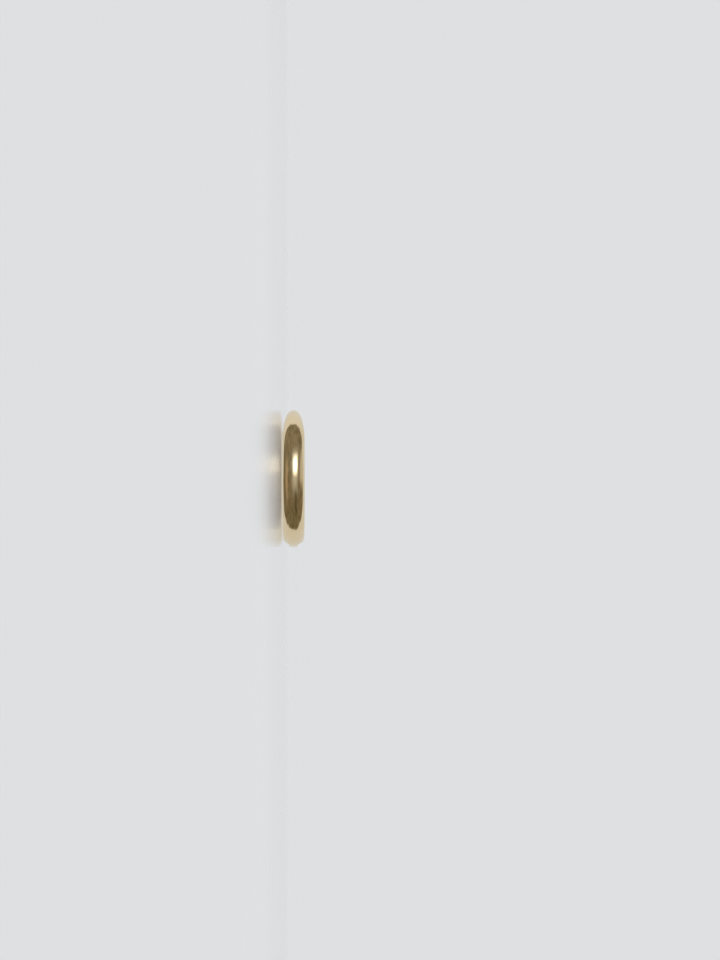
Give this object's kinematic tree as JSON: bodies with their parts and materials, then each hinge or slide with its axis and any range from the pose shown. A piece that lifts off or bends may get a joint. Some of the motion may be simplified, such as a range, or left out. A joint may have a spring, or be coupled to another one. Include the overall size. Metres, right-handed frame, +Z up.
{
  "type": "huggie hoop earring",
  "caption": "Small hinged hoop earring: a crowned polished band parted at a hinge at its lower end, with a curved ear post that closes into a slot.",
  "frame": {"origin": "centre of the closed hoop, on the floor that its lower side face rests on", "axes": "+Z up along the hoop's axis as it lies on its side; -Y towards the front as worn; -X towards the ear, +X towards the hinge"},
  "size_m": [0.0136, 0.0136, 0.0022],
  "materials": {
    "polished_gold": "mirror-polished gold-coloured metal"
  },
  "bodies": {
    "front": {"front_arc": "polished_gold", "hinge_pin": "polished_gold"},
    "back": {"back_arc": "polished_gold"}
  },
  "joints": [
    {"name": "hinge", "type": "hinge", "parent": "front", "child": "back", "pos_m": [0.0059, -0.00021, 0.0011], "axis": [0, 0, -1], "range_deg": [0, 50]}
  ]
}
